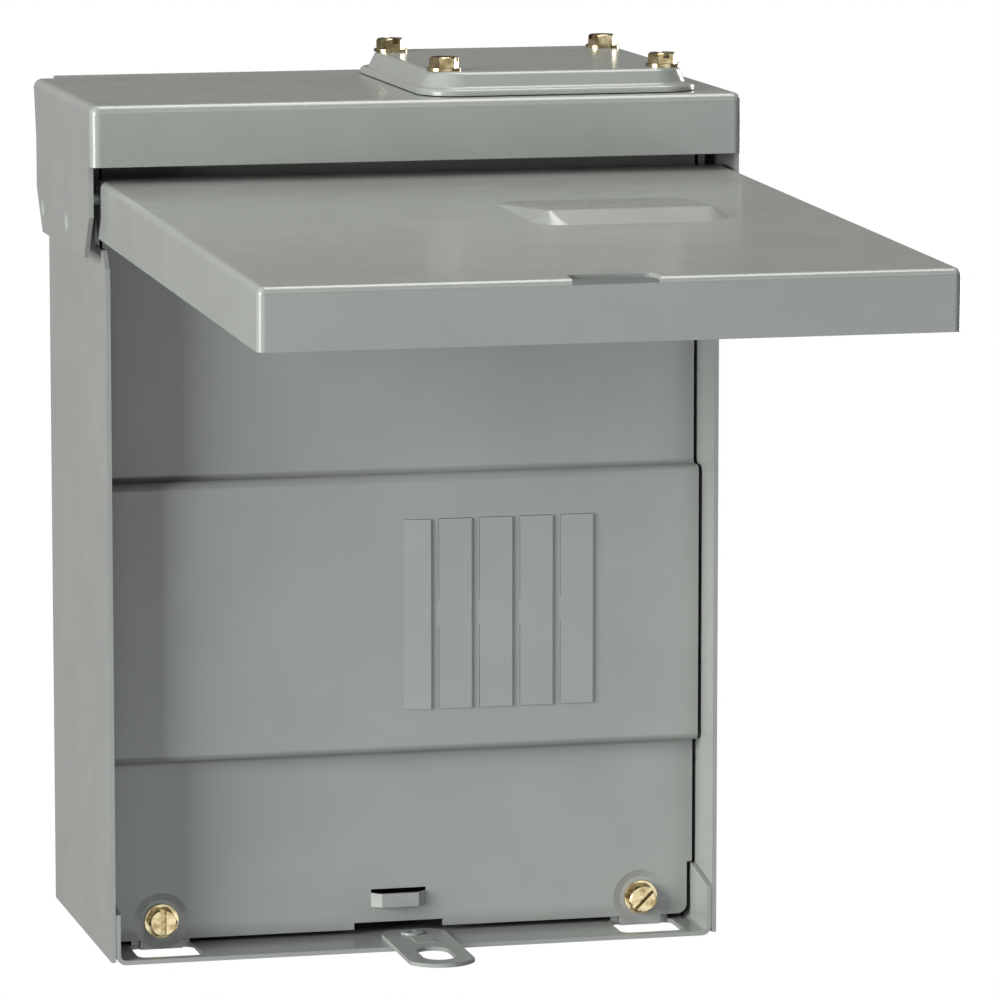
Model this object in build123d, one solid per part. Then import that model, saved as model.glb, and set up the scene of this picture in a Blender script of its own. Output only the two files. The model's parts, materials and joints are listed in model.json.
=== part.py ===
from build123d import *
import math
import os

# Small rainproof outdoor load centre: a bent steel box with a top hood, a lift-up door,
# an inner deadfront with four half-inch breaker twistouts, and the bus interior behind it.
#
# Frame: X to the right, the front faces -Y, the back plane that meets the wall is Y = 0,
# Z up, and the origin is the centre of the four wall holes. Sizes are millimetres.
# Heights named h_... are measured up from the bottom edge of the side walls.

# ---------------------------------------------------------------- sheet and box
sheet = 1.35              # box, hood and bottom plate
thin_sheet = 1.2          # door, deadfront and closure plate
box_width = 188.7         # over the side walls
box_depth = 100.6         # back plane to the side walls' front edges
bend_radius = 2.2         # outside radius of ordinary bends

# wall mounting holes
wall_hole_spacing_x = 127.0
wall_hole_spacing_z = 190.0
wall_hole_radius = 3.2
lower_wall_hole_height = 30.0

# ---------------------------------------------------------------- hood
h_hood_top = 259.1
hood_front_gap = 6.6      # hood's front plane ahead of the side walls' front edges
hood_rear_gap = 0.15      # hood's rear edge to the back sheet
hood_bend = 2.6
lip_height = 18.2
hood_corner_radius = 2.8
shoulder_setback = 7.5    # top's rear corners are cut back this far from the back plane
ear_gap = 1.6             # door's side flanges to the hood's ears
ear_setback = 4.0         # ear's front edge behind the hood's front plane
h_ear_bottom = 213.0
ear_front_chamfer_y = 9.0
ear_front_chamfer_z = 12.8
ear_rear_setback = 11.0
ear_rear_chamfer_y = 10.0
ear_rear_chamfer_z = 13.0
tongue_height = 10.0
tongue_side_gap = 2.5     # flange inside the back sheet to the side walls
back_stand_up = 0.2       # back sheet's top edge above the hood top
weld_dimple_radius = 3.0
weld_dimple_depths = (22.0, 64.0)     # from the back plane
weld_dent_depth = 0.5
h_weld_dimple = 220.5

# ---------------------------------------------------------------- hub opening and its closure plate
hub_x = 45.5
hub_from_back = 52.0
hub_screw_x = 68.0
hub_screw_y = 73.0
hub_opening = 58.0
hub_opening_corner = 4.0
platform_width = 74.6     # raised ring of the hood under the closure plate
platform_length = 86.4
platform_corner = 7.0
platform_edge = 1.0
platform_rise = 4.9
gasket_thick = 0.9
gasket_inset = 1.2
closure_flange_x = 86.0
closure_flange_y = 101.0
closure_flange_corner = 12.0
closure_corner = 8.0
closure_crown_edge = 2.0
closure_root_edge = 1.2
closure_rim_edge = 1.2
closure_rim_height = 1.9  # turned-down rim round the flange
closure_side_gap = 0.3    # ring to the closure plate's inside
closure_draft = 2.4       # how far the skirt spreads towards its flange
closure_lift = 0.35       # rim's lower edge above the hood top

# ---------------------------------------------------------------- door
door_length = 242.8
door_flange_depth = 17.3
door_side_gap = 1.1       # side wall to door flange, with the door central
door_shift = 0.75         # door's sideways play on its pins, taken up to the right
door_lip_gap = 1.65       # closed door's face behind the lip's inner face
door_open_tilt = 1.25     # below level in the open position, degrees
h_door_bottom = -4.2      # closed
door_bend = 2.0
door_rear_corner = 5.0
door_front_corner = 2.1
slot_x = 0.65
slot_width = 24.4         # hasp slot through the door's lower bend
slot_on_face = 8.2
slot_on_flange = 1.6
slot_corner = 3.0
boss_x = 35.0             # wedge-shaped boss pressed in the door's face
boss_width = 58.0
boss_start = 77.0         # from the door's hinge end
boss_length = 57.0
boss_corner = 9.0
boss_crest = 125.0
boss_crest_width = 49.0
boss_crest_land = 2.5
boss_crest_corner = 1.2
boss_rise = 3.2

# ---------------------------------------------------------------- hinge
pivot_from_face = 5.3     # pin axis behind the closed door's face
pivot_from_top = 7.7      # pin axis below the closed door's top edge
pin_radius = 1.7
pin_clearance = 0.06
pin_disc_radius = 2.5
pin_disc_thick = 0.5
pin_past_flange = 1.2
notch_clearance = 1.5     # side wall to the door's turning top flange
notch_chamfer = 5.0

# ---------------------------------------------------------------- bottom plate and hasp
plate_bend = 3.0
bottom_drop = 0.94        # bottom plate's underside below the side walls' edges
end_gap = 0.15            # plate's upturned ends to the side walls
end_height_front = 14.5
end_slope_run = 18.0
end_below_step = 0.5      # ends' rear height below the deadfront's side step
rear_flange_height = 12.0
screw_tab_width = 18.0    # lanced-up tabs that take the deadfront's screws
screw_tab_height = 16.5
screw_tab_gap = 0.1       # behind the deadfront's dishes
screw_slot_width = 20.0
screw_slot_length = 18.0
screw_slot_corner = 3.0
tab_hole_radius = 2.1
knockout_radii = (10.9, 14.3)
knockout_groove = 0.5
knockout_groove_width = 0.5
knockout_spots = ((-52.0, -40.0), (0.0, -40.0), (52.0, -40.0))
hasp_width = 20.0
hasp_thick = 1.2
hasp_x = 2.0
hasp_rear_y = -81.8
hasp_rear_corner = 6.0
hasp_reach = 28.2         # past the closed door's face
hasp_tip_bow = 6.2        # how far the tip bulges past its shoulders
hasp_shoulder = 1.6
hasp_hole_width = 10.0
hasp_hole_length = 18.2
hasp_hole_margin = 5.9    # hole's front end to the hasp's tip
rivet_x = 1.3
rivet_y = -87.9
rivet_radius = 2.4
rivet_hole_gap = 0.1
rivet_head_radius = 3.5
rivet_head_height = 0.6
rivet_dimple_radius = 1.2
rivet_tail_radius = 3.0
rivet_tail_height = 0.7
hasp_key_width = 6.5      # half-sheared key that stops the hasp turning
hasp_key_length = 9.0
hasp_key_rise = 0.3
hasp_key_ahead = 10.1     # ahead of the rivet
hasp_key_x = 2.6

# ---------------------------------------------------------------- deadfront
deadfront_y = -81.1       # front surface of its flat zones
deadfront_side_gap = 1.2
band_rise = 6.3
h_band_bottom = 57.7
h_band_top = 143.3
h_deadfront_bottom = 2.1
h_deadfront_top = 247.0
deadfront_return = 4.0
low_step = 1.6            # lower end is narrower by this at each side
h_low_step = 18.4
df_tab_width = 13.0
df_tab_drop = 2.9
df_notch_x = -1.35
df_notch_width = 28.0
df_notch_height = 2.1
df_screw_x = 75.4         # screws, their dishes and the tabs below them
h_df_screw = 7.9
df_screw_hole = 2.6
dish_radius = 8.7         # shallow dish round each deadfront screw
dish_floor_radius = 6.4
dish_depth = 0.45
bridge_width = 17.3       # raised finger bridge, open at its top
h_bridge_bottom = 9.1
bridge_height = 4.2
bridge_slope = 2.9        # run of its sloped ends
bridge_gap = 1.2          # open slit above it
bridge_rise = 2.6

# breaker twistouts
breaker_pitch = 12.7
breaker_count = 4
first_break_x = 7.5
h_window_bottom = 71.0
h_window_top = 129.7
bar_width = 2.4
twist_left_rise = 0.4
twist_right_rise = 0.65
twist_end_gap = 0.1
twist_side_gap = 0.12
twist_tab = 7.7
lead_ramp = 8.5

# retaining angle under the hood that holds the deadfront's top edge
retainer_width = 168.0
retainer_leg = 20.0
retainer_foot = 10.0
retainer_gap = 0.3

# ---------------------------------------------------------------- screws
hub_screw_radius = 2.0
hub_screw_length = 12.0
hub_screw_bore = 2.1
washer_radius = 5.2
washer_thick = 0.9
hex_across_flats = 7.9
hex_height = 3.2
slot_cut_width = 1.8
slot_cut_depth = 1.5
hex_edge = 1.0            # bevel round the head's top
hub_slot_turns = (-20.0, 98.0, 92.0, 8.0)
df_screw_radius = 1.95
df_screw_length = 8.0
df_slot_turns = (90.0, 45.0)          # left, right

# ---------------------------------------------------------------- interior
pan_left = -30.0
pan_right = 80.0
h_pan_bottom = 42.0
h_pan_top = 214.0
pan_standoff = 8.0
pan_foot = 9.0
pan_sheet = 1.5
pan_screw_radius = 2.0
pan_screw_clearance = 0.15
pan_screw_head = 4.4
pan_screw_head_height = 2.4
h_pan_screws = (60.0, 196.0)

h_base_bottom = 58.0
h_base_top = 168.0
base_thick = 15.0
base_side = 6.0           # insulator past the breaker window at each side
bus_width = 13.0
bus_thick = 2.0
bus_groove = 1.0
h_bus_bottom = 96.0
h_bus_top = 196.0
stab_thick = 1.6
stab_height = 12.0
stab_reach = 14.0
h_stab = 112.0

lug_width = 17.0
lug_height = 20.0
lug_depth = 21.0
h_lug = 176.0
lug_bore_radius = 5.5
lug_bore_behind = 8.2     # bore's axis ahead of the lug's seat
lug_screw_radius = 4.0
lug_screw_clearance = 0.15
lug_screw_height = 9.0
lug_screw_socket = 2.2
lug_screw_backoff = 0.6
lug_socket_depth = 4.0
lug_corner = 3.0

rail_height = 9.0
rail_drop = 4.8
rail_seat = 2.0           # rail's pocket in the insulator
rail_reach = 22.0
rail_hook = 6.0
h_rail = 62.0

neutral_x = -17.0
neutral_width = 12.0
neutral_depth = 13.0
h_neutral_bottom = 70.0
neutral_length = 98.0
neutral_standoff = 16.0
neutral_ways = 8
neutral_pitch = 9.0
neutral_first = 20.0
neutral_post_side = 2.0
neutral_post_web = 5.0
neutral_post_end = 14.0
way_radius = 2.6
way_ahead = 5.5           # wire hole's axis ahead of the bar's seat
way_screw_radius = 2.2
way_screw_clearance = 0.12
way_screw_height = 6.0
way_screw_head_radius = 3.1
way_screw_head = 1.6

ground_x = -72.0
h_ground_bottom = 70.0
ground_length = 66.0
ground_ways = 5
ground_pitch = 10.0
ground_first = 13.0
ground_standoff = 5.0
ground_foot = 9.0

bond_screw_radius = 1.9
bond_hole_radius = 2.05
h_bond_from_end = 6.0

# ---------------------------------------------------------------- worked-out places
base_z = -(lower_wall_hole_height + wall_hole_spacing_z / 2)
wall_x = box_width / 2
hood_front_y = -(box_depth + hood_front_gap)
hood_top_z = base_z + h_hood_top
hood_under_z = hood_top_z - sheet
lip_bottom_z = hood_top_z - lip_height
hood_rear_y = -(sheet + hood_rear_gap)
ear_front_y = hood_front_y + ear_setback
ear_bottom_z = base_z + h_ear_bottom

door_face_y = hood_front_y + sheet + door_lip_gap
door_inner_x = wall_x + door_side_gap
door_x = door_inner_x + thin_sheet
hood_x = door_x + ear_gap + sheet
door_bottom_z = base_z + h_door_bottom
door_top_z = door_bottom_z + door_length
door_rear_y = door_face_y + door_flange_depth
pivot_y = door_face_y + pivot_from_face
pivot_z = door_top_z - pivot_from_top
flange_swing = math.hypot(door_flange_depth - pivot_from_face, pivot_from_top)
notch_rear_y = pivot_y + flange_swing + notch_clearance
notch_bottom_z = pivot_z - flange_swing - notch_clearance

plate_under_z = base_z - bottom_drop
plate_top_z = plate_under_z + sheet
plate_x = wall_x - sheet - end_gap
deadfront_x = wall_x - sheet - deadfront_side_gap
deadfront_back_y = deadfront_y + thin_sheet
screw_tab_y = deadfront_back_y + dish_depth + screw_tab_gap
end_height_rear = h_low_step - end_below_step
band_y = deadfront_y - band_rise
hasp_front_y = door_face_y - hasp_reach
hasp_shoulder_y = hasp_front_y + hasp_tip_bow
hasp_hole_y = hasp_front_y + hasp_hole_margin + hasp_hole_length / 2

hub_y = -hub_from_back
platform_top_z = hood_top_z + platform_rise
closure_in_z = platform_top_z + gasket_thick
closure_top_z = closure_in_z + thin_sheet
closure_in_x = platform_width + 2 * closure_side_gap
closure_in_y = platform_length + 2 * closure_side_gap

pan_front_y = -(sheet + pan_standoff + pan_sheet)
window_right_x = first_break_x + breaker_count * breaker_pitch
base_left_x = first_break_x - base_side
base_right_x = window_right_x + base_side
base_front_y = pan_front_y - base_thick
bus_xs = (first_break_x + breaker_pitch, first_break_x + 3 * breaker_pitch)
bus_back_y = base_front_y + bus_groove
bus_front_y = bus_back_y - bus_thick
neutral_back_y = pan_front_y - neutral_standoff
hole_xs = (-wall_hole_spacing_x / 2, wall_hole_spacing_x / 2)
hole_zs = (-wall_hole_spacing_z / 2, wall_hole_spacing_z / 2)
hub_screw_spots = [
    (hub_x + side * hub_screw_x / 2, hub_y + end * hub_screw_y / 2)
    for side in (-1, 1)
    for end in (-1, 1)
]


# ---------------------------------------------------------------- helpers
def block(x0, x1, y0, y1, z0, z1):
    """A box between six planes."""
    middle = Pos((x0 + x1) / 2, (y0 + y1) / 2, (z0 + z1) / 2)
    return middle * Box(abs(x1 - x0), abs(y1 - y0), abs(z1 - z0))


def rod_z(radius, x, y, z0, z1):
    return Pos(x, y, (z0 + z1) / 2) * Cylinder(radius, abs(z1 - z0))


def rod_y(radius, x, z, y0, y1):
    return Pos(x, (y0 + y1) / 2, z) * Rot(90, 0, 0) * Cylinder(radius, abs(y1 - y0))


def rod_x(radius, y, z, x0, x1):
    return Pos((x0 + x1) / 2, y, z) * Rot(0, 90, 0) * Cylinder(radius, abs(x1 - x0))


def side_prism(points, x0, x1):
    """A polygon of (y, z) points, extruded from x0 to x1."""
    outline = [(x0, y, z) for y, z in points]
    face = make_face(Polyline(*outline, close=True))
    return extrude(face, amount=x1 - x0, dir=(1, 0, 0))


def rounded_slab(width, length, corner, x, y, z0, z1):
    plan = Plane((x, y, z0)) * RectangleRounded(width, length, corner)
    return extrude(plan, amount=z1 - z0)


def vertical_edges(solid, *spots):
    """The edges along Z that pass through the given (x, y) corners."""
    picked = []
    for edge in solid.edges().filter_by(Axis.Z):
        centre = edge.center()
        if any(math.hypot(centre.X - x, centre.Y - y) < 0.05 for x, y in spots):
            picked.append(edge)
    return picked


def edges_along(solid, axis, test):
    return [edge for edge in solid.edges().filter_by(axis) if test(edge.center())]


def write(solid, name):
    export_step(solid, f"parts/{name}.step")


def joined(solids):
    return Compound(children=list(solids))


# ---------------------------------------------------------------- box
def wrapper():
    """Back and side walls bent from one sheet."""
    top = hood_under_z - 0.1
    corners = ((-wall_x, 0), (wall_x, 0))
    inner_corners = ((-wall_x + sheet, -sheet), (wall_x - sheet, -sheet))
    outer = block(-wall_x, wall_x, -box_depth, 0, base_z, top)
    outer = fillet(vertical_edges(outer, *corners), bend_radius)
    inner = block(
        -wall_x + sheet, wall_x - sheet, -box_depth - 5, -sheet, base_z - 5, top + 5
    )
    inner = fillet(vertical_edges(inner, *inner_corners), bend_radius - sheet)
    body = outer - inner
    tall_back = block(
        -wall_x + bend_radius, wall_x - bend_radius, -sheet, 0, top - 5, hood_top_z + back_stand_up
    )
    body = body + tall_back
    body = body - hinge_notch(top)
    for x in hole_xs:
        for z in hole_zs:
            body -= rod_y(wall_hole_radius, x, z, -sheet - 1, 1)
    for x, z in pan_screw_spots():
        body -= rod_y(pan_screw_radius + pan_screw_clearance, x, z, -sheet - 1, 1)
    for x, z in ground_screw_spots():
        body -= rod_y(pan_screw_radius + pan_screw_clearance, x, z, -sheet - 1, 1)
    return body


def hinge_notch(top):
    """Room in both side walls for the door's top flange as it turns."""
    front = -box_depth - 1
    points = (
        (front, notch_bottom_z - notch_chamfer),
        (-box_depth + 0.4, notch_bottom_z - notch_chamfer),
        (-box_depth + notch_chamfer, notch_bottom_z),
        (notch_rear_y, notch_bottom_z),
        (notch_rear_y, top + 1),
        (front, top + 1),
    )
    return side_prism(points, -wall_x - 1, wall_x + 1)


def hood_block(x, front, rear, low, high, corner, bend):
    """A block with rounded front corners and a bend round its top."""
    body = block(-x, x, front, rear, low, high)
    body = fillet(vertical_edges(body, (-x, front), (x, front)), corner)
    top_edges = [
        edge
        for edge in body.edges()
        if edge.center().Z > high - 0.01 and edge.center().Y < rear - 0.01
    ]
    return fillet(top_edges, bend)


def hood():
    """Top, front lip and side ears of one drawn sheet, with the hub ring."""
    outer = hood_block(
        hood_x, hood_front_y, hood_rear_y, ear_bottom_z, hood_top_z, hood_corner_radius, hood_bend
    )
    inner = hood_block(
        hood_x - sheet,
        hood_front_y + sheet,
        hood_rear_y + 5,
        ear_bottom_z - 5,
        hood_under_z,
        hood_corner_radius - sheet,
        hood_bend - sheet,
    )
    shell = (outer - inner) & ear_outline()
    shell += rear_tongue()
    for side in (-1, 1):
        shell -= shoulder_cut(side)
        for depth in weld_dimple_depths:
            shell += weld_dimple(side, -depth)
            shell -= weld_dimple_hollow(side, -depth)
    shell = shell + hub_ring() - hub_hollow()
    for x, y in hub_screw_spots:
        shell -= rod_z(hub_screw_bore, x, y, hood_under_z - 1, platform_top_z + 1)
    return shell


def ear_outline():
    """Side outline of lip and ear: what lies outside it is cut away."""
    rear = hood_rear_y
    ear_rear = -ear_rear_setback
    bend_z = hood_top_z - hood_bend
    points = (
        (hood_front_y - 1, hood_top_z + 1),
        (hood_front_y - 1, lip_bottom_z),
        (ear_front_y, lip_bottom_z),
        (ear_front_y, ear_bottom_z + ear_front_chamfer_z),
        (ear_front_y + ear_front_chamfer_y, ear_bottom_z),
        (ear_rear - ear_rear_chamfer_y, ear_bottom_z),
        (ear_rear, ear_bottom_z + ear_rear_chamfer_z),
        (ear_rear, lip_bottom_z),
        (-shoulder_setback, bend_z),
        (rear, bend_z),
        (rear, hood_top_z + 1),
    )
    return side_prism(points, -hood_x - 1, hood_x + 1)


def shoulder_cut(side):
    """What is taken off one rear corner of the top, outside the back sheet's raised part."""
    inner = side * (wall_x - bend_radius)
    outer = side * (hood_x + 1)
    return block(
        inner, outer, -shoulder_setback, hood_rear_y + 1, hood_under_z - hood_bend, hood_top_z + 1
    )


def rear_tongue():
    """Flange that turns down inside the back sheet."""
    half = wall_x - sheet - tongue_side_gap
    low = hood_under_z - tongue_height
    return block(-half, half, hood_rear_y - sheet, hood_rear_y, low, hood_top_z - 0.5)


def weld_dimple(side, y):
    inner = side * (hood_x - sheet)
    return rod_x(weld_dimple_radius + sheet, y, base_z + h_weld_dimple, side * wall_x, inner)


def weld_dimple_hollow(side, y):
    cone = Cone(weld_dimple_radius, weld_dimple_radius * 0.6, weld_dent_depth)
    place = Pos(side * (hood_x + 0.01 - weld_dent_depth / 2), y, base_z + h_weld_dimple)
    return place * Rot(0, -90 * side, 0) * cone


def hub_ring():
    """Raised rectangular ring of the hood that the closure plate covers."""
    ring = rounded_slab(
        platform_width, platform_length, platform_corner, hub_x, hub_y, hood_under_z, platform_top_z
    )
    top = ring.faces().sort_by(Axis.Z)[-1]
    return fillet(top.edges(), platform_edge)


def hub_hollow():
    width = platform_width - 2 * sheet
    length = platform_length - 2 * sheet
    corner = platform_corner - sheet
    under = rounded_slab(
        width, length, corner, hub_x, hub_y, hood_under_z - 1, platform_top_z - sheet
    )
    return under + hub_hole(hood_under_z - 1, platform_top_z + 1)


def hub_hole(low, high):
    return rounded_slab(hub_opening, hub_opening, hub_opening_corner, hub_x, hub_y, low, high)


def closure_shape(width, length, corner, low_z, high_z):
    """A drafted rounded block, wider at its foot."""
    foot = Plane((hub_x, hub_y, low_z)) * RectangleRounded(
        width + 2 * closure_draft, length + 2 * closure_draft, corner + closure_draft
    )
    crown = Plane((hub_x, hub_y, high_z)) * RectangleRounded(width, length, corner)
    return loft([foot, crown], ruled=True)


def closure_plate():
    """Drawn cover over the hub opening, with an ogee skirt and a rim that turns down."""
    rim_low = hood_top_z + closure_lift
    flange_top = rim_low + closure_rim_height
    body = closure_shape(
        closure_in_x + 2 * thin_sheet,
        closure_in_y + 2 * thin_sheet,
        closure_corner + thin_sheet,
        flange_top - 0.2,
        closure_top_z,
    )
    body += rounded_slab(
        closure_flange_x,
        closure_flange_y,
        closure_flange_corner,
        hub_x,
        hub_y,
        rim_low,
        flange_top,
    )
    ledge = [edge for edge in body.edges() if abs(edge.center().Z - flange_top) < 0.02]
    body = fillet([edge for edge in ledge if not on_flange_rim(edge)], closure_root_edge)
    ledge = [edge for edge in body.edges() if abs(edge.center().Z - flange_top) < 0.02]
    body = fillet([edge for edge in ledge if on_flange_rim(edge)], closure_rim_edge)
    body = fillet(body.faces().sort_by(Axis.Z)[-1].edges(), closure_crown_edge)
    body -= closure_shape(closure_in_x, closure_in_y, closure_corner, rim_low - 0.5, closure_in_z)
    body -= rounded_slab(
        closure_flange_x - 2 * thin_sheet,
        closure_flange_y - 2 * thin_sheet,
        closure_flange_corner - thin_sheet,
        hub_x,
        hub_y,
        rim_low - 1,
        flange_top - thin_sheet,
    )
    for x, y in hub_screw_spots:
        body -= rod_z(hub_screw_bore, x, y, closure_in_z - 1, closure_top_z + 1)
    return body


def on_flange_rim(edge):
    """Whether an edge lies on the closure flange's outer outline."""
    box = edge.bounding_box()
    wide = box.max.X - hub_x > closure_flange_x / 2 - 0.05
    wide = wide or hub_x - box.min.X > closure_flange_x / 2 - 0.05
    long = box.max.Y - hub_y > closure_flange_y / 2 - 0.05
    long = long or hub_y - box.min.Y > closure_flange_y / 2 - 0.05
    return wide or long


def closure_gasket():
    """Flat rubber frame between the ring and the closure plate."""
    gasket = rounded_slab(
        platform_width - 2 * gasket_inset,
        platform_length - 2 * gasket_inset,
        platform_corner - gasket_inset,
        hub_x,
        hub_y,
        platform_top_z,
        closure_in_z,
    )
    gasket -= hub_hole(platform_top_z - 1, closure_in_z + 1)
    for x, y in hub_screw_spots:
        gasket -= rod_z(hub_screw_bore, x, y, platform_top_z - 1, closure_in_z + 1)
    return gasket


def hex_screw(radius, length, turn):
    """Slotted hexagon washer-head screw that seats on Z = 0 and points down."""
    corner = hex_across_flats / 2 / math.cos(math.radians(30))
    top = washer_thick + hex_height
    prism = extrude(Plane((0, 0, washer_thick)) * RegularPolygon(corner, 6), amount=hex_height)
    crown = Pos(0, 0, top - hex_edge / 2) * Cone(corner + 0.6, corner - 0.7, hex_edge)
    head = prism & (crown + rod_z(corner + 0.6, 0, 0, 0, top - hex_edge))
    screw = rod_z(radius, 0, 0, -length, 0) + rod_z(washer_radius, 0, 0, 0, washer_thick) + head
    slot = Pos(0, 0, top) * Rot(0, 0, turn) * Box(4 * corner, slot_cut_width, 2 * slot_cut_depth)
    return screw - slot


def closure_screws():
    return joined(
        Pos(x, y, closure_top_z) * hex_screw(hub_screw_radius, hub_screw_length, turn)
        for (x, y), turn in zip(hub_screw_spots, hub_slot_turns)
    )


# ---------------------------------------------------------------- door and hinge
def door():
    """Four-sided pan, built closed and then turned up to its open place."""
    corners = ((-door_x, door_top_z), (door_x, door_top_z))
    low_corners = ((-door_x, door_bottom_z), (door_x, door_bottom_z))
    outer = block(-door_x, door_x, door_face_y, door_rear_y, door_bottom_z, door_top_z)
    outer = round_pan(outer, corners, low_corners, 0.0)
    inner = block(
        -door_inner_x,
        door_inner_x,
        door_face_y + thin_sheet,
        door_rear_y + 5,
        door_bottom_z + thin_sheet,
        door_top_z - thin_sheet,
    )
    in_corners = (
        (-door_inner_x, door_top_z - thin_sheet),
        (door_inner_x, door_top_z - thin_sheet),
    )
    low_in_corners = (
        (-door_inner_x, door_bottom_z + thin_sheet),
        (door_inner_x, door_bottom_z + thin_sheet),
    )
    inner = round_pan(inner, in_corners, low_in_corners, thin_sheet)
    pan = outer - inner
    pan = pan + door_boss(0.0) - door_boss(thin_sheet)
    pan -= hasp_slot()
    for side in (-1, 1):
        bore = pin_radius + pin_clearance
        pan -= rod_x(bore, pivot_y, pivot_z, side * (door_inner_x - 1), side * (door_x + 1))
    pan = pan.rotate(Axis((0, pivot_y, pivot_z), (1, 0, 0)), -(90 - door_open_tilt))
    return Pos(door_shift, 0, 0) * pan


def round_pan(solid, top_corners, low_corners, inset):
    """Rounds the pan's four corners and the bend round its face."""

    def near(spots):
        picked = []
        for edge in solid.edges().filter_by(Axis.Y):
            centre = edge.center()
            if any(math.hypot(centre.X - x, centre.Z - z) < 0.05 for x, z in spots):
                picked.append(edge)
        return picked

    solid = fillet(near(top_corners), door_rear_corner - inset)
    solid = fillet(near(low_corners), door_front_corner - inset)
    face = solid.faces().sort_by(Axis.Y)[0]
    return fillet(face.edges(), door_bend - inset)


def door_boss(inset):
    """Pressed wedge: a long rise from the hinge end and a short steep front."""
    foot_y = door_face_y + inset + (0.05 if inset == 0 else 0.4)
    crest_y = door_face_y - boss_rise + inset
    middle_z = door_top_z - boss_start - boss_length / 2
    crest_z = door_top_z - boss_crest
    foot = Plane((boss_x, foot_y, middle_z), x_dir=(1, 0, 0), z_dir=(0, -1, 0))
    crest = Plane((boss_x, crest_y, crest_z), x_dir=(1, 0, 0), z_dir=(0, -1, 0))
    shrink = 2 * inset
    wide = RectangleRounded(boss_width - shrink, boss_length - shrink, boss_corner - inset)
    narrow = RectangleRounded(boss_crest_width - shrink, boss_crest_land, boss_crest_corner)
    return loft([foot * wide, crest * narrow], ruled=True)


def hasp_slot():
    left = slot_x - slot_width / 2
    right = slot_x + slot_width / 2
    front = door_face_y - 1
    low = door_bottom_z - 1
    on_face_rear = door_face_y + thin_sheet + 0.6
    on_face = block(left, right, front, on_face_rear, low, door_bottom_z + slot_on_face)
    top = edges_along(on_face, Axis.Y, lambda c: c.Z > door_bottom_z)
    on_face = fillet(top, slot_corner)
    on_flange_rear = door_face_y + slot_on_flange
    return on_face + block(left, right, front, on_flange_rear, low, door_bottom_z + thin_sheet + 0.6)


def hinge_pins():
    """Two studs on the ears' inner faces that the door's side flanges turn on."""
    ear_inner = hood_x - sheet
    pins = []
    for side in (-1, 1):
        shaft_end = door_inner_x - pin_past_flange
        pin = rod_x(pin_radius, pivot_y, pivot_z, side * shaft_end, side * ear_inner)
        disc_end = ear_inner - pin_disc_thick
        pin += rod_x(pin_disc_radius, pivot_y, pivot_z, side * disc_end, side * ear_inner)
        pins.append(pin)
    return joined(pins)


# ---------------------------------------------------------------- bottom plate and hasp
def bottom_plate():
    """Bottom with upturned ends and rear, lanced screw tabs and knockouts."""
    rear = hood_rear_y
    plate = block(-plate_x, plate_x, -box_depth, rear, plate_under_z, plate_top_z)
    plate += block(-plate_x, plate_x, rear - sheet, rear, plate_under_z, base_z + rear_flange_height)
    for side in (-1, 1):
        plate += upturned_end(side)
    low_sides = edges_along(
        plate, Axis.Y, lambda c: c.Z < plate_under_z + 0.01 and abs(abs(c.X) - plate_x) < 0.01
    )
    plate = fillet(low_sides, plate_bend)
    inner_x = plate_x - sheet
    inner_sides = edges_along(
        plate, Axis.Y, lambda c: abs(c.Z - plate_top_z) < 0.01 and abs(abs(c.X) - inner_x) < 0.01
    )
    plate = fillet(inner_sides, plate_bend - sheet)
    low_rear = edges_along(
        plate, Axis.X, lambda c: c.Z < plate_under_z + 0.01 and c.Y > rear - 0.01
    )
    plate = fillet(low_rear, bend_radius * 0.6)
    for side in (-1, 1):
        plate = plate - screw_slot(side) + screw_tab(side)
        plate -= rod_y(
            tab_hole_radius,
            side * df_screw_x,
            base_z + h_df_screw,
            screw_tab_y - 1,
            screw_tab_y + sheet + 1,
        )
    for x, y in knockout_spots:
        for radius in knockout_radii:
            plate -= knockout_ring(x, y, radius)
    return plate - rivet_hole(plate_under_z - 1, plate_top_z + 1)


def rivet_hole(low, high):
    return rod_z(rivet_radius + rivet_hole_gap, rivet_x, rivet_y, low, high)


def upturned_end(side):
    rear = hood_rear_y
    points = (
        (-box_depth, plate_under_z + 0.5),
        (-box_depth, base_z + end_height_front),
        (-box_depth + end_slope_run, base_z + end_height_rear),
        (rear, base_z + end_height_rear),
        (rear, plate_under_z + 0.5),
    )
    inner = side * (plate_x - sheet)
    return side_prism(points, min(inner, side * plate_x), max(inner, side * plate_x))


def screw_slot(side):
    x = side * df_screw_x
    rear = screw_tab_y
    half = screw_slot_width / 2
    slot = block(
        x - half, x + half, rear - screw_slot_length, rear, plate_under_z - 1, plate_top_z + 1
    )
    return fillet(slot.edges().filter_by(Axis.Z), screw_slot_corner)


def screw_tab(side):
    x = side * df_screw_x
    half = screw_tab_width / 2
    high = base_z + screw_tab_height
    return block(x - half, x + half, screw_tab_y, screw_tab_y + sheet, plate_under_z, high)


def knockout_ring(x, y, radius):
    """Half-depth shear groove in the underside."""
    half = knockout_groove_width / 2
    ring = rod_z(radius + half, x, y, plate_under_z - 1, plate_under_z + knockout_groove)
    return ring - rod_z(radius - half, x, y, plate_under_z - 2, plate_under_z + 2)


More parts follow.
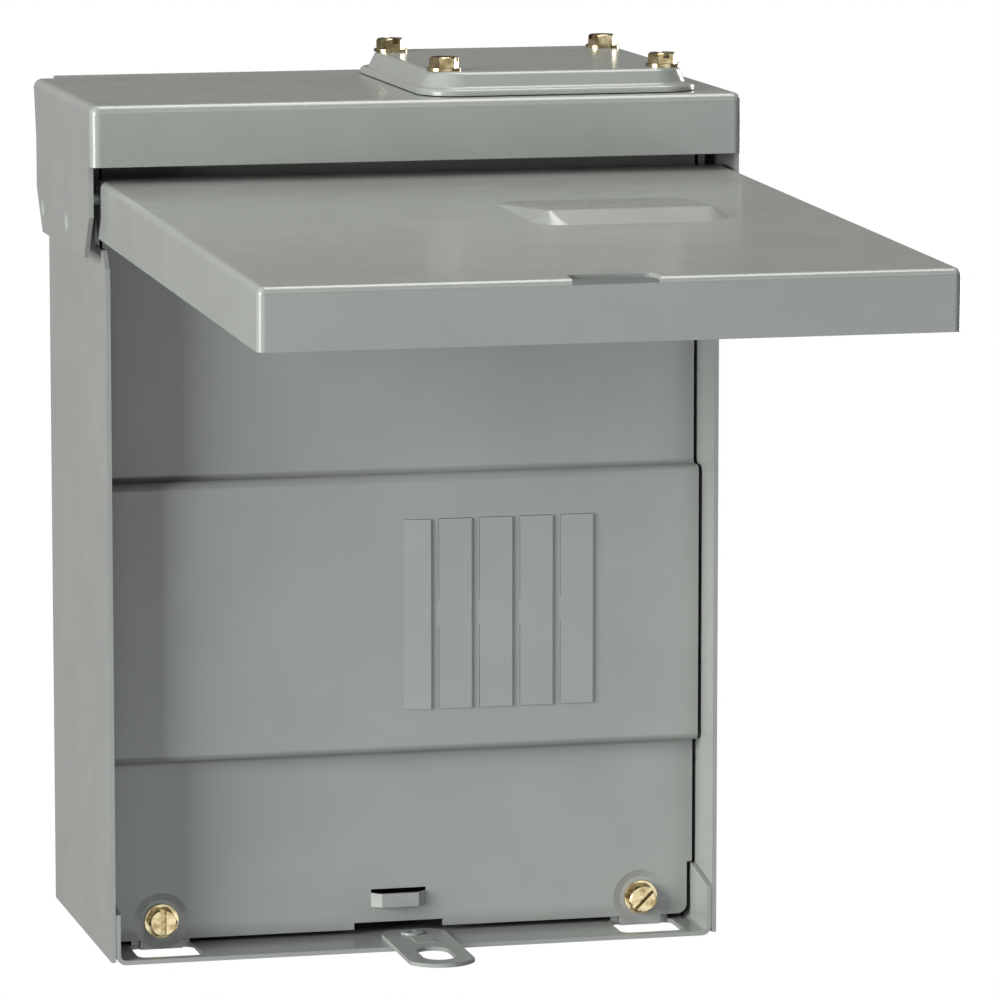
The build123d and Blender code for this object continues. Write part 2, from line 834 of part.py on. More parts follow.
def hasp():
    """Flat padlock eye that reaches out through the closed door's slot."""
    top = plate_top_z + hasp_thick
    strap = extrude(hasp_outline(), amount=hasp_thick, dir=(0, 0, 1))
    rear = edges_along(strap, Axis.Z, lambda c: c.Y > hasp_rear_y - 0.01)
    strap = fillet(rear, hasp_rear_corner)
    shoulders = edges_along(strap, Axis.Z, lambda c: c.Y < hasp_shoulder_y + 0.01)
    strap = fillet(shoulders, hasp_shoulder)
    eye = Plane((hasp_x, hasp_hole_y, plate_top_z - 1)) * Rot(0, 0, 90) * SlotOverall(
        hasp_hole_length, hasp_hole_width
    )
    strap -= extrude(eye, amount=hasp_thick + 2)
    strap -= rivet_hole(plate_top_z - 1, top + 1)
    key = Pos(hasp_key_x, rivet_y - hasp_key_ahead, top) * Box(
        hasp_key_width, hasp_key_length, 2 * hasp_key_rise
    )
    return strap + key


def hasp_outline():
    """Straight sides and a tip that bulges forward."""
    left = hasp_x - hasp_width / 2
    right = hasp_x + hasp_width / 2
    z = plate_top_z
    left_shoulder = (left, hasp_shoulder_y, z)
    right_shoulder = (right, hasp_shoulder_y, z)
    sides = Polyline(left_shoulder, (left, hasp_rear_y, z), (right, hasp_rear_y, z), right_shoulder)
    tip = ThreePointArc(right_shoulder, (hasp_x, hasp_front_y, z), left_shoulder)
    return make_face(sides.edges() + tip.edges())


def hasp_rivet():
    """Tubular rivet with a flat head."""
    top = plate_top_z + hasp_thick
    head_top = top + rivet_head_height
    tail_low = plate_under_z - rivet_tail_height
    head = rod_z(rivet_head_radius, rivet_x, rivet_y, top, head_top)
    head = fillet(head.faces().sort_by(Axis.Z)[-1].edges(), rivet_head_height * 0.6)
    rivet = head + rod_z(rivet_radius, rivet_x, rivet_y, plate_under_z, top)
    rivet += rod_z(rivet_tail_radius, rivet_x, rivet_y, tail_low, plate_under_z)
    return rivet - rod_z(rivet_dimple_radius, rivet_x, rivet_y, head_top - 1.0, head_top + 1)


# ---------------------------------------------------------------- deadfront
def deadfront():
    """Inner cover: flat zones, a raised band with the twistouts, tabs and a bridge."""
    band_low_z = base_z + h_band_bottom
    band_high_z = base_z + h_band_top
    bottom_z = base_z + h_deadfront_bottom
    top_z = base_z + h_deadfront_top
    x = deadfront_x
    back = deadfront_back_y
    cover = block(-x, x, deadfront_y, back, bottom_z, band_low_z + thin_sheet)
    cover += block(-x, x, band_y, band_y + thin_sheet, band_low_z, band_high_z)
    cover += block(-x, x, deadfront_y, back, band_high_z - thin_sheet, top_z)
    cover += block(-x, x, band_y, back, band_low_z, band_low_z + thin_sheet)
    cover += block(-x, x, band_y, back, band_high_z - thin_sheet, band_high_z)
    cover += block(-x, x, deadfront_y, back + deadfront_return, top_z - thin_sheet, top_z)
    crests = edges_along(
        cover,
        Axis.X,
        lambda c: c.Y < band_y + 0.01 and min(abs(c.Z - band_low_z), abs(c.Z - band_high_z)) < 0.01,
    )
    cover = fillet(crests, bend_radius)
    roots = edges_along(
        cover,
        Axis.X,
        lambda c: abs(c.Y - deadfront_y) < 0.01
        and min(abs(c.Z - band_low_z), abs(c.Z - band_high_z)) < 0.01,
    )
    cover = fillet(roots, 1.4)
    cover -= lower_outline()
    cover += df_tabs()
    for side in (-1, 1):
        cover = cover + dish_cone(side, back) - dish_cone(side, deadfront_y)
        cover -= rod_y(
            df_screw_hole, side * df_screw_x, base_z + h_df_screw, deadfront_y - 1, back + 3
        )
    cover = cover - bridge_window() + finger_bridge()
    cover -= twistout_window()
    for index in range(breaker_count):
        cover += twistout(index)
    return cover - lead_cut() + lead_strip()


def lower_outline():
    """Side steps, rounded lower corners and the hasp notch."""
    bottom_z = base_z + h_deadfront_bottom
    y0 = deadfront_y - 1
    y1 = deadfront_back_y + 1
    inner = deadfront_x - low_step
    cut = block(
        df_notch_x - df_notch_width / 2,
        df_notch_x + df_notch_width / 2,
        y0,
        y1,
        bottom_z - 1,
        bottom_z + df_notch_height,
    )
    for side in (-1, 1):
        edge = block(
            side * inner, side * (deadfront_x + 1), y0, y1, bottom_z - 1, base_z + h_low_step
        )
        corner = block(side * (inner - 3), side * inner, y0, y1, bottom_z - 1, bottom_z + 3)
        corner -= rod_y(3.0, side * (inner - 3), bottom_z + 3, y0 - 1, y1 + 1)
        cut = cut + edge + corner
    return cut


def df_tabs():
    bottom_z = base_z + h_deadfront_bottom
    tabs = []
    for side in (-1, 1):
        x = side * df_screw_x
        half = df_tab_width / 2
        tabs.append(
            block(
                x - half,
                x + half,
                deadfront_y,
                deadfront_back_y,
                bottom_z - df_tab_drop,
                bottom_z + 1,
            )
        )
    return tabs


def dish_cone(side, face_y):
    """A shallow frustum that narrows backwards from the plane face_y."""
    cone = Cone(dish_radius, dish_floor_radius, dish_depth)
    middle = Pos(side * df_screw_x, face_y + dish_depth / 2, base_z + h_df_screw)
    return middle * Rot(-90, 0, 0) * cone


def bridge_window():
    """Opening behind the finger bridge, with a slit above it."""
    half = bridge_width / 2
    low = base_z + h_bridge_bottom
    high = low + bridge_height + bridge_gap
    return block(
        df_notch_x - half, df_notch_x + half, deadfront_y - 1, deadfront_back_y + 1, low, high
    )


def finger_bridge():
    """Strap pressed forward with sloped ends, to pull the deadfront by."""
    left = df_notch_x - bridge_width / 2
    right = df_notch_x + bridge_width / 2
    front = deadfront_y - bridge_rise
    low = base_z + h_bridge_bottom
    outer = (
        (left, deadfront_y),
        (left + bridge_slope, front),
        (right - bridge_slope, front),
        (right, deadfront_y),
    )
    inner = [(x, y + thin_sheet) for x, y in reversed(outer)]
    outline = [(x, y, low) for x, y in (*outer, *inner)]
    return extrude(make_face(Polyline(*outline, close=True)), amount=bridge_height, dir=(0, 0, 1))


def twistout_window():
    """Clears the band between the bars, ready for the twistouts."""
    cuts = []
    for index in range(breaker_count):
        left = first_break_x + index * breaker_pitch + bar_width
        right = first_break_x + (index + 1) * breaker_pitch
        cuts.append(
            block(
                left,
                right,
                band_y - 1,
                band_y + thin_sheet + 1,
                base_z + h_window_bottom,
                base_z + h_window_top,
            )
        )
    return cuts


def twistout(index):
    """One half-inch blank, sheared round and held by a tab at its left side."""
    bar_edge = first_break_x + index * breaker_pitch + bar_width
    left = bar_edge + twist_side_gap
    right = first_break_x + (index + 1) * breaker_pitch - twist_side_gap
    low = base_z + h_window_bottom + twist_end_gap
    high = base_z + h_window_top - twist_end_gap
    left_y = band_y - twist_left_rise
    right_y = band_y - twist_right_rise
    points = (
        (left, left_y),
        (right, right_y),
        (right, right_y + thin_sheet),
        (left, left_y + thin_sheet),
    )
    outline = [(x, y, low) for x, y in points]
    blank = extrude(make_face(Polyline(*outline, close=True)), amount=high - low, dir=(0, 0, 1))
    middle = (low + high) / 2
    tab = block(
        bar_edge - 0.5,
        left + 0.6,
        band_y - 0.15,
        band_y + thin_sheet - twist_left_rise,
        middle - twist_tab / 2,
        middle + twist_tab / 2,
    )
    return blank + tab


def lead_cut():
    """Three-sided shear round the ramp to the left of the first twistout."""
    right = first_break_x
    return block(
        right - lead_ramp,
        right,
        band_y - 1,
        band_y + thin_sheet + 1,
        base_z + h_window_bottom,
        base_z + h_window_top,
    )


def lead_strip():
    """Ramp that rises to the right, joined to the band along its left side."""
    left = first_break_x - lead_ramp
    right = first_break_x - twist_side_gap
    low = base_z + h_window_bottom + twist_end_gap
    high = base_z + h_window_top - twist_end_gap
    points = (
        (left - 0.5, band_y),
        (left, band_y),
        (right, band_y - twist_right_rise),
        (right, band_y - twist_right_rise + thin_sheet),
        (left, band_y + thin_sheet),
        (left - 0.5, band_y + thin_sheet),
    )
    outline = [(x, y, low) for x, y in points]
    return extrude(make_face(Polyline(*outline, close=True)), amount=high - low, dir=(0, 0, 1))


def deadfront_retainer():
    """Angle under the hood that the deadfront's top edge tucks behind."""
    front = deadfront_y - retainer_gap - thin_sheet
    half = retainer_width / 2
    top = hood_under_z
    leg = block(-half, half, front, front + thin_sheet, top - retainer_leg, top)
    foot = block(-half, half, front - retainer_foot, front + thin_sheet, top - thin_sheet, top)
    angle = leg + foot
    return angle - rounded_slab(
        platform_width,
        platform_length,
        platform_corner,
        hub_x,
        hub_y,
        top - thin_sheet - 1,
        top + 1,
    )


def deadfront_screws():
    return joined(
        Pos(side * df_screw_x, deadfront_y + dish_depth, base_z + h_df_screw)
        * Rot(90, 0, 0)
        * hex_screw(df_screw_radius, df_screw_length, turn)
        for side, turn in zip((-1, 1), df_slot_turns)
    )


# ---------------------------------------------------------------- interior
def pan_screw_spots():
    foot = pan_foot / 2
    xs = (pan_left + foot, pan_right - foot)
    return [(x, base_z + h) for x in xs for h in h_pan_screws]


def interior_pan():
    """Hat-section steel pan that carries the bus parts off the back sheet."""
    low = base_z + h_pan_bottom
    high = base_z + h_pan_top
    seat = -sheet
    left = pan_left + pan_foot
    right = pan_right - pan_foot
    pan = block(left, right, pan_front_y, pan_front_y + pan_sheet, low, high)
    for inner, outer in ((left, pan_left), (right, pan_right)):
        side = 1 if outer > inner else -1
        riser = inner - side * pan_sheet
        pan += block(riser, inner, pan_front_y, seat, low, high)
        pan += block(inner - side * pan_sheet, outer, seat - pan_sheet, seat, low, high)
    for x, z in pan_screw_spots():
        pan -= rod_y(pan_screw_radius + pan_screw_clearance, x, z, -20, 1)
    return pan - bond_hole(-20, 1)


def pan_head_screw(x, z, seat, tip, radius, head_radius, head_height):
    """Round-head screw pointing back (+Y), with a cross slot."""
    screw = rod_y(radius, x, z, seat, tip)
    head = rod_y(head_radius, x, z, seat - head_height, seat)
    head = fillet(head.faces().sort_by(Axis.Y)[0].edges(), head_height * 0.4)
    slot = Pos(x, seat - head_height, z) * Box(head_radius * 1.2, head_height, 1.0)
    cross = Pos(x, seat - head_height, z) * Box(1.0, head_height, head_radius * 1.2)
    return screw + head - slot - cross


def pan_screws():
    seat = -(sheet + pan_sheet)
    return joined(
        pan_head_screw(x, z, seat, -0.2, pan_screw_radius, pan_screw_head, pan_screw_head_height)
        for x, z in pan_screw_spots()
    )


def base_insulator():
    """Moulded base under the two buses, with a barrier between them."""
    low = base_z + h_base_bottom
    high = base_z + h_base_top
    base = block(base_left_x, base_right_x, base_front_y, pan_front_y, low, high)
    base = fillet(base.edges().filter_by(Axis.Y), 2.5)
    middle = (bus_xs[0] + bus_xs[1]) / 2
    base += block(middle - 1.5, middle + 1.5, base_front_y - 9, base_front_y + 1, low + 34, high)
    for x in bus_xs:
        half = bus_width / 2 + 0.1
        base -= block(
            x - half, x + half, base_front_y - 1, bus_back_y, base_z + h_bus_bottom - 0.2, high + 1
        )
    for x in (base_left_x + 6, base_right_x - 6):
        base -= block(x - 2.5, x + 2.5, base_front_y - 1, base_front_y + 8, low + 40, high - 8)
    base -= rail_pocket()
    return base


def rail_pocket():
    z = base_z + h_rail
    return block(
        base_left_x - 1,
        base_right_x + 1,
        base_front_y - 1,
        base_front_y + rail_seat,
        z - rail_drop - 0.2,
        z + rail_height + 1,
    )


def breaker_rail():
    """Steel rail whose hook the breakers' feet clip over."""
    z = base_z + h_rail
    left = first_break_x
    right = window_right_x
    low = z - rail_drop
    seat = base_front_y + rail_seat
    front = seat - rail_reach
    rail = block(left, right, seat - pan_sheet, seat, low, z + rail_height)
    rail += block(left, right, front, seat, low, low + pan_sheet)
    rail += block(left, right, front, front + pan_sheet, low, low + rail_hook)
    bends = edges_along(rail, Axis.X, lambda c: c.Z < low + 0.1)
    return fillet(bends, 1.2)


def line_bus(x):
    """Tin-plated bar with one plug-on stab for a pair of breakers."""
    low = base_z + h_bus_bottom
    high = base_z + h_bus_top
    bar = block(x - bus_width / 2, x + bus_width / 2, bus_front_y, bus_back_y, low, high)
    bar = fillet(bar.edges().filter_by(Axis.Y), 1.5)
    stab_low = base_z + h_stab - stab_height / 2
    stab_front = bus_front_y - stab_reach
    half = stab_thick / 2
    stab = block(
        x - half, x + half, stab_front, bus_front_y + 0.5, stab_low, stab_low + stab_height
    )
    stab = fillet(edges_along(stab, Axis.X, lambda c: c.Y < bus_front_y - 1), 2.5)
    return bar + stab


def connector(x, seat, low):
    """Aluminium block with a threaded hole for its clamping screw."""
    lug = block(x - lug_width / 2, x + lug_width / 2, seat - lug_depth, seat, low, low + lug_height)
    lug = fillet(edges_along(lug, Axis.Z, lambda c: c.Y < seat - 1), lug_corner)
    bore = lug_screw_radius + lug_screw_clearance
    return lug - rod_y(bore, x, low + lug_height / 2, seat - lug_depth - 1, seat - lug_bore_behind)


def line_lug(x):
    """Line wire connector with a vertical bore."""
    low = base_z + h_lug
    bore_y = bus_front_y - lug_bore_behind
    lug = connector(x, bus_front_y, low)
    return lug - rod_z(lug_bore_radius, x, bore_y, low - 1, low + lug_height + 1)


def set_screw(x, seat, middle):
    """Socket set screw of a connector, backed off clear of its bore."""
    tip = seat - lug_bore_behind - lug_bore_radius - lug_screw_backoff
    front = tip - lug_screw_height
    socket = Plane((x, front, middle), x_dir=(1, 0, 0), z_dir=(0, 1, 0)) * RegularPolygon(
        lug_screw_socket, 6
    )
    return rod_y(lug_screw_radius, x, middle, front, tip) - extrude(socket, amount=lug_socket_depth)


def lug_screws():
    middle = base_z + h_lug + lug_height / 2
    return joined(set_screw(x, bus_front_y, middle) for x in bus_xs)


def neutral_insulator():
    """Moulded standoff between the pan and the neutral bar, open through its middle."""
    low = base_z + h_neutral_bottom
    high = low + neutral_length
    left = neutral_x - neutral_width / 2 - neutral_post_side
    right = neutral_x + neutral_width / 2 + neutral_post_side
    post = block(left, right, neutral_back_y, pan_front_y, low - 3, high + 3)
    post -= block(
        left - 1,
        right + 1,
        neutral_back_y + neutral_post_web,
        pan_front_y - neutral_post_web,
        low + neutral_post_end,
        high - neutral_post_end,
    )
    return post - bond_hole(neutral_back_y - 1, pan_front_y + 1)


def bond_hole(front, rear):
    return rod_y(bond_hole_radius, neutral_x, bond_screw_z(), front, rear)


def bond_screw_z():
    return base_z + h_neutral_bottom + h_bond_from_end


def terminal_bar(x, seat, low, length, ways, pitch, first):
    """Drilled aluminium bar: wire holes across it and screw holes in its front."""
    half = neutral_width / 2
    front = seat - neutral_depth
    bar = block(x - half, x + half, front, seat, low, low + length)
    for way in range(ways):
        z = low + first + way * pitch
        bar -= rod_x(way_radius, seat - way_ahead, z, x - half - 1, x + half + 1)
        bar -= rod_y(way_screw_radius + way_screw_clearance, x, z, front - 1, seat - way_ahead)
    return bar


def terminal_screws(x, seat, low, ways, pitch, first):
    screws = []
    front = seat - neutral_depth
    tip = seat - way_ahead - way_radius - 0.5
    for way in range(ways):
        z = low + first + way * pitch
        head_seat = front - 0.4
        screw = rod_y(way_screw_radius, x, z, head_seat, tip)
        head = rod_y(way_screw_head_radius, x, z, head_seat - way_screw_head, head_seat)
        turn = 17.0 * way
        slot = Pos(x, head_seat - way_screw_head, z) * Rot(0, turn, 0) * Box(10, 1.6, 0.9)
        screws.append(screw + head - slot)
    return joined(screws)


def neutral_bar():
    low = base_z + h_neutral_bottom
    bar = terminal_bar(
        neutral_x, neutral_back_y, low, neutral_length, neutral_ways, neutral_pitch, neutral_first
    )
    return bar - bond_hole(neutral_back_y - neutral_depth - 1, neutral_back_y + 1)


def neutral_screws():
    low = base_z + h_neutral_bottom
    return terminal_screws(
        neutral_x, neutral_back_y, low, neutral_ways, neutral_pitch, neutral_first
    )


def neutral_lug():
    """Large wire connector with a crosswise bore, on the neutral bar's upper end."""
    low = base_z + h_neutral_bottom + neutral_length
    across = low + lug_height / 2
    bore_y = neutral_back_y - lug_bore_behind
    left = neutral_x - lug_width
    right = neutral_x + lug_width
    lug = connector(neutral_x, neutral_back_y, low)
    return lug - rod_x(lug_bore_radius, bore_y, across, left, right)


def neutral_lug_screw():
    across = base_z + h_neutral_bottom + neutral_length + lug_height / 2
    return set_screw(neutral_x, neutral_back_y, across)


def bonding_screw():
    """Green hexagon screw that ties the neutral bar to the steel pan."""
    seat = neutral_back_y - neutral_depth
    z = bond_screw_z()
    screw = rod_y(bond_screw_radius, neutral_x, z, seat, pan_front_y + pan_sheet + 1.5)
    plan = Plane((neutral_x, seat, z), x_dir=(1, 0, 0), z_dir=(0, -1, 0)) * RegularPolygon(4.2, 6)
    head = extrude(plan, amount=3.0)
    slot = Pos(neutral_x, seat - 3.0, z) * Box(10, 1.8, 1.2)
    return screw + head - slot


def ground_screw_spots():
    low = base_z + h_ground_bottom
    return [
        (ground_x, low + ground_foot / 2),
        (ground_x, low + ground_length - ground_foot / 2),
    ]


def ground_bar():
    """Grounding terminal bar on two feet against the back sheet."""
    low = base_z + h_ground_bottom
    seat = -(sheet + ground_standoff)
    bar = terminal_bar(ground_x, seat, low, ground_length, ground_ways, ground_pitch, ground_first)
    half = neutral_width / 2
    for z in (low, low + ground_length - ground_foot):
        bar += block(ground_x - half, ground_x + half, seat - 0.5, -sheet, z, z + ground_foot)
    for x, z in ground_screw_spots():
        bar -= rod_y(pan_screw_radius + pan_screw_clearance, x, z, -40, 1)
    return bar


def ground_screws():
    low = base_z + h_ground_bottom
    seat = -(sheet + ground_standoff)
    return terminal_screws(ground_x, seat, low, ground_ways, ground_pitch, ground_first)


def ground_mounting_screws():
    seat = -(sheet + ground_standoff + neutral_depth)
    return joined(
        pan_head_screw(x, z, seat, -0.2, pan_screw_radius, 3.6, pan_screw_head_height)
        for x, z in ground_screw_spots()
    )


# ---------------------------------------------------------------- output
def main():
    os.makedirs("parts", exist_ok=True)
    pieces = {
        "wrapper": wrapper,
        "hood": hood,
        "closure_plate": closure_plate,
        "closure_gasket": closure_gasket,
        "closure_screws": closure_screws,
        "door": door,
        "hinge_pins": hinge_pins,
        "bottom_plate": bottom_plate,
        "hasp": hasp,
        "hasp_rivet": hasp_rivet,
        "deadfront": deadfront,
        "deadfront_retainer": deadfront_retainer,
        "deadfront_screws": deadfront_screws,
        "interior_pan": interior_pan,
        "pan_screws": pan_screws,
        "base_insulator": base_insulator,
        "breaker_rail": breaker_rail,
        "lug_screws": lug_screws,
        "neutral_insulator": neutral_insulator,
        "neutral_bar": neutral_bar,
        "neutral_screws": neutral_screws,
        "neutral_lug": neutral_lug,
        "neutral_lug_screw": neutral_lug_screw,
        "bonding_screw": bonding_screw,
        "ground_bar": ground_bar,
        "ground_screws": ground_screws,
        "ground_mounting_screws": ground_mounting_screws,
    }
    for name, make in pieces.items():
        write(make(), name)
    for side, x in zip(("left", "right"), bus_xs):
        write(line_bus(x), f"line_bus_{side}")
        write(line_lug(x), f"line_lug_{side}")
    print("hinge axis y, z:", round(pivot_y, 3), round(pivot_z, 3))
    print("closed angle:", 90 - door_open_tilt)


main()
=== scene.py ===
"""Looks for the small outdoor load centre: materials, edge finish, light and camera."""
import json
import math

import bmesh
import bpy
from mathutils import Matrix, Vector


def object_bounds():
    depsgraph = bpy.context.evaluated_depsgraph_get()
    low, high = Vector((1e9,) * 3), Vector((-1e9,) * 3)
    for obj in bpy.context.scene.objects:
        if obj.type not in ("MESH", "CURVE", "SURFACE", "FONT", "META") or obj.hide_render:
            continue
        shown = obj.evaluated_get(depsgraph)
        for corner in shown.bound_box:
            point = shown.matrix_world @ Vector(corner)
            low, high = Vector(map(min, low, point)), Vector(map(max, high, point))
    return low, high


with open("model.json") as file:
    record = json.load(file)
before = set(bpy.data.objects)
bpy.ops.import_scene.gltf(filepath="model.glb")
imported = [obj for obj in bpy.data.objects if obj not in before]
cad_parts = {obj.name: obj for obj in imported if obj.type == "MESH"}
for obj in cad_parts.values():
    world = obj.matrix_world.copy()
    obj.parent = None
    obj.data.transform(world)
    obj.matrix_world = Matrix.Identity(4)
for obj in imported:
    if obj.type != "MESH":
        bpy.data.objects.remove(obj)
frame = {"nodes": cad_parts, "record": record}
cad_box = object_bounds()
nodes = frame["nodes"]
scene = bpy.context.scene
MM = 0.001
EDGE_WIDTH = 0.25 * MM

CAMERA_PLACE = Vector((-0.4384, -2.0181, 0.3064))
CAMERA_TURN = math.radians(13.612)
CAMERA_DROP = math.radians(8.495)
CAMERA_LENS = 237.6
SENSOR_WIDTH = 36.0

STAGE_BELOW = 0.30
STAGE_FLAT_RADIUS = 4.0
STAGE_CURVE_RADIUS = 1.5
STAGE_WALL_HEIGHT = 7.0
STAGE_CURVE_STEPS = 12
STAGE_TURN_STEPS = 64

LAMP_TARGET = Vector((0, -0.05, 0.0))
WORLD_COLOUR = (1.0, 0.98, 0.94, 1)
WORLD_STRENGTH = 0.12


# ------------------------------------------------------------------ camera
def make_camera():
    """A long lens from the lower left, at the height and turn that shows the open door level."""
    camera_data = bpy.data.cameras.new("camera")
    camera_data.sensor_width = SENSOR_WIDTH
    camera_data.lens = CAMERA_LENS
    camera_data.clip_end = 50.0
    camera = bpy.data.objects.new("camera", camera_data)
    camera.location = CAMERA_PLACE
    camera.rotation_euler = (math.radians(90) - CAMERA_DROP, 0.0, -CAMERA_TURN)
    scene.collection.objects.link(camera)
    scene.camera = camera


# ------------------------------------------------------------------ materials
class Nodes:
    """Short words for building a shader tree."""

    def __init__(self, name):
        self.material = bpy.data.materials.new(name)
        self.material.use_nodes = True
        self.tree = self.material.node_tree
        self.shader = self.tree.nodes["Principled BSDF"]

    def add(self, kind, **values):
        node = self.tree.nodes.new(kind)
        for key, value in values.items():
            if key in node.inputs:
                node.inputs[key].default_value = value
            else:
                setattr(node, key, value)
        return node

    def link(self, source, socket):
        self.tree.links.new(source, socket)

    def set(self, **values):
        for key, value in values.items():
            self.shader.inputs[key.replace("_", " ")].default_value = value

    def place(self):
        return self.add("ShaderNodeTexCoord").outputs["Object"]

    def noise(self, scale, detail=2.0, roughness=0.5):
        node = self.add("ShaderNodeTexNoise", Scale=scale, Detail=detail, Roughness=roughness)
        self.link(self.place(), node.inputs["Vector"])
        return node.outputs["Fac"]

    def ramp(self, source, stops):
        node = self.add("ShaderNodeValToRGB")
        elements = node.color_ramp.elements
        while len(elements) < len(stops):
            elements.new(0.5)
        for element, (position, colour) in zip(elements, stops):
            element.position = position
            element.color = colour
        self.link(source, node.inputs["Fac"])
        return node.outputs["Color"]

    def spread(self, source, low, high):
        node = self.add("ShaderNodeMapRange")
        node.inputs["To Min"].default_value = low
        node.inputs["To Max"].default_value = high
        self.link(source, node.inputs["Value"])
        return node.outputs["Result"]

    def bump(self, height, strength, distance, below=None):
        node = self.add("ShaderNodeBump", Strength=strength, Distance=distance)
        self.link(height, node.inputs["Height"])
        if below is not None:
            self.link(below, node.inputs["Normal"])
        return node.outputs["Normal"]


def grey(value, tint=(1.0, 1.0, 1.0)):
    return (value * tint[0], value * tint[1], value * tint[2], 1.0)


def enamel():
    """Semi-gloss baked grey enamel with fine orange peel and faint mottling."""
    n = Nodes("grey_enamel_paint")
    tint = (1.0, 1.05, 0.99)
    mottle = n.noise(38.0, 3.0, 0.55)
    colour = n.ramp(mottle, [(0.32, grey(0.296, tint)), (0.68, grey(0.316, tint))])
    n.link(colour, n.shader.inputs["Base Color"])
    gloss = n.noise(120.0, 2.0)
    n.link(n.spread(gloss, 0.18, 0.25), n.shader.inputs["Roughness"])
    peel = n.noise(900.0, 2.0, 0.6)
    wave = n.noise(160.0, 1.0, 0.4)
    fine = n.bump(peel, 0.14, 0.00008)
    n.link(n.bump(wave, 0.04, 0.00020, fine), n.shader.inputs["Normal"])
    return n.material


def zinc(name, dark, light, rough):
    """Plated steel with uneven colour."""
    n = Nodes(name)
    patch = n.noise(260.0, 3.0, 0.6)
    n.link(n.ramp(patch, [(0.35, dark), (0.65, light)]), n.shader.inputs["Base Color"])
    n.link(n.spread(n.noise(900.0), rough - 0.06, rough + 0.08), n.shader.inputs["Roughness"])
    n.link(n.bump(n.noise(1800.0, 2.0), 0.12, 0.00006), n.shader.inputs["Normal"])
    n.set(Metallic=1.0)
    return n.material


def moulding(name, colour, rough):
    """Moulded plastic or rubber with slightly uneven colour."""
    n = Nodes(name)
    dark = tuple(c * 0.8 for c in colour[:3]) + (1.0,)
    n.link(n.ramp(n.noise(90.0, 2.0), [(0.3, dark), (0.7, colour)]), n.shader.inputs["Base Color"])
    n.link(n.spread(n.noise(300.0), rough - 0.05, rough + 0.08), n.shader.inputs["Roughness"])
    n.link(n.bump(n.noise(2400.0, 2.0), 0.2, 0.00004), n.shader.inputs["Normal"])
    return n.material


def make_materials():
    return {
        "grey_enamel": enamel(),
        "yellow_zinc": zinc("yellow_zinc_plate", (0.34, 0.24, 0.11, 1), (0.82, 0.70, 0.44, 1), 0.2),
        "plated_steel": zinc("plated_steel", (0.50, 0.50, 0.48, 1), (0.62, 0.62, 0.60, 1), 0.34),
        "tinned_bus": zinc("tinned_bus", (0.66, 0.66, 0.65, 1), (0.76, 0.76, 0.75, 1), 0.32),
        "lug_aluminium": zinc("lug_aluminium", (0.62, 0.62, 0.63, 1), (0.74, 0.74, 0.75, 1), 0.28),
        "gasket_rubber": moulding("gasket_rubber", (0.03, 0.03, 0.03, 1), 0.7),
        "black_moulding": moulding("black_moulding", (0.03, 0.03, 0.033, 1), 0.5),
        "green_screw": moulding("green_screw", (0.04, 0.25, 0.08, 1), 0.35),
    }


def dress_nodes(materials):
    for entry in frame["record"]["subparts"]:
        mesh = nodes[entry["node"]].data
        mesh.materials.clear()
        mesh.materials.append(materials[entry["material_slot"]])


def soften_edges(names, width):
    """A narrow rounded edge that catches the light, as on painted sheet."""
    for name in names:
        bevel = nodes[name].modifiers.new("edge", "BEVEL")
        bevel.width = width
        bevel.segments = 2
        bevel.limit_method = "ANGLE"
        bevel.angle_limit = math.radians(40)
        bevel.harden_normals = True


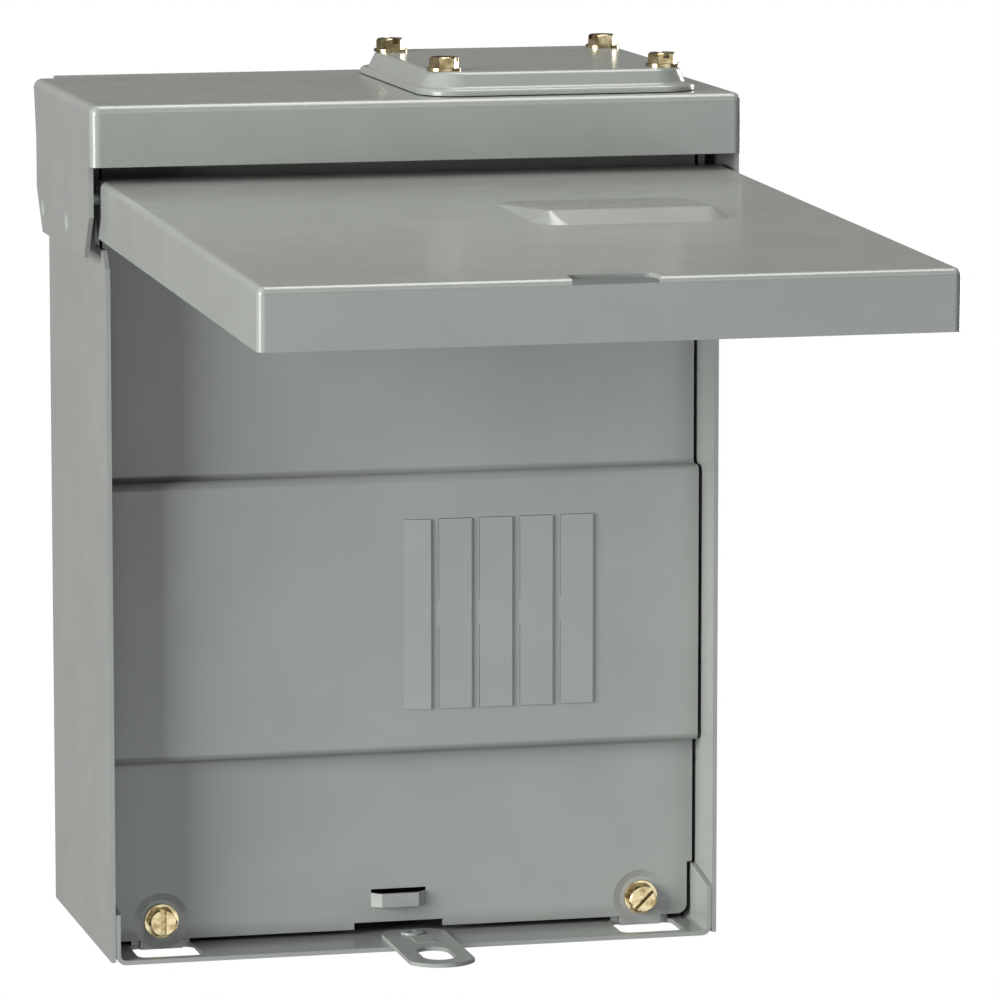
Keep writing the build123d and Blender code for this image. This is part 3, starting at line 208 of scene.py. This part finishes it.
# ------------------------------------------------------------------ stage
def make_stage():
    """A white floor and a wall curving up all round it, which only the camera sees."""
    low = cad_box[0][2] - STAGE_BELOW
    profile = [(0.0, low), (STAGE_FLAT_RADIUS, low)]
    for step in range(1, STAGE_CURVE_STEPS + 1):
        angle = math.radians(90 * step / STAGE_CURVE_STEPS)
        out = STAGE_FLAT_RADIUS + STAGE_CURVE_RADIUS * math.sin(angle)
        up = STAGE_CURVE_RADIUS * (1 - math.cos(angle))
        profile.append((out, low + up))
    profile.append((STAGE_FLAT_RADIUS + STAGE_CURVE_RADIUS, low + STAGE_WALL_HEIGHT))
    mesh = bpy.data.meshes.new("stage")
    shape = bmesh.new()
    path = [shape.verts.new((out, 0.0, up)) for out, up in profile]
    edges = [shape.edges.new(pair) for pair in zip(path, path[1:])]
    bmesh.ops.spin(
        shape,
        geom=path + edges,
        cent=(0, 0, 0),
        axis=(0, 0, 1),
        angle=math.tau,
        steps=STAGE_TURN_STEPS,
        use_merge=True,
    )
    shape.to_mesh(mesh)
    shape.free()
    for polygon in mesh.polygons:
        polygon.use_smooth = True
    stage = bpy.data.objects.new("stage", mesh)
    scene.collection.objects.link(stage)
    n = Nodes("stage_white")
    n.set(Base_Color=(0, 0, 0, 1), Roughness=1.0, Specular_IOR_Level=0.0)
    n.set(Emission_Color=(1, 1, 1, 1), Emission_Strength=1.0)
    mesh.materials.append(n.material)
    for ray in ("diffuse", "glossy", "transmission", "shadow"):
        setattr(stage, "visible_" + ray, False)


def softbox(name, place, size, power, colour):
    """A rectangular lamp that looks at the middle of the box."""
    light = bpy.data.lights.new(name, "AREA")
    light.shape = "RECTANGLE"
    light.size, light.size_y = size
    light.energy = power
    light.color = colour
    lamp = bpy.data.objects.new(name, light)
    lamp.location = Vector(place)
    lamp.rotation_euler = (LAMP_TARGET - lamp.location).to_track_quat("-Z", "Y").to_euler()
    scene.collection.objects.link(lamp)


def make_lights():
    world = bpy.data.worlds.new("world")
    world.use_nodes = True
    background = world.node_tree.nodes["Background"]
    background.inputs["Color"].default_value = WORLD_COLOUR
    background.inputs["Strength"].default_value = WORLD_STRENGTH
    scene.world = world
    warm = (1.0, 0.99, 0.95)
    cool = (0.95, 0.99, 1.0)
    white = (1.0, 1.0, 1.0)
    softbox("left_box", (-2.2, -1.0, 0.5), (1.2, 1.6), 94.0, white)
    softbox("front_box", (0.9, -2.6, 1.35), (1.8, 0.9), 11.5, cool)
    softbox("low_box", (0.1, -3.0, -0.55), (4.4, 1.1), 21.0, cool)
    softbox("top_strip", (0.5, 0.2, 2.4), (2.0, 0.9), 46.0, warm)
    softbox("back_box", (2.4, 2.0, 0.3), (1.2, 1.6), 60.0, white)


make_camera()
materials = make_materials()
dress_nodes(materials)
soften_edges(
    ["wrapper", "hood", "door", "deadfront", "bottom_plate", "hasp", "closure_plate"],
    EDGE_WIDTH,
)
make_stage()
make_lights()
scene.view_settings.view_transform = "Standard"
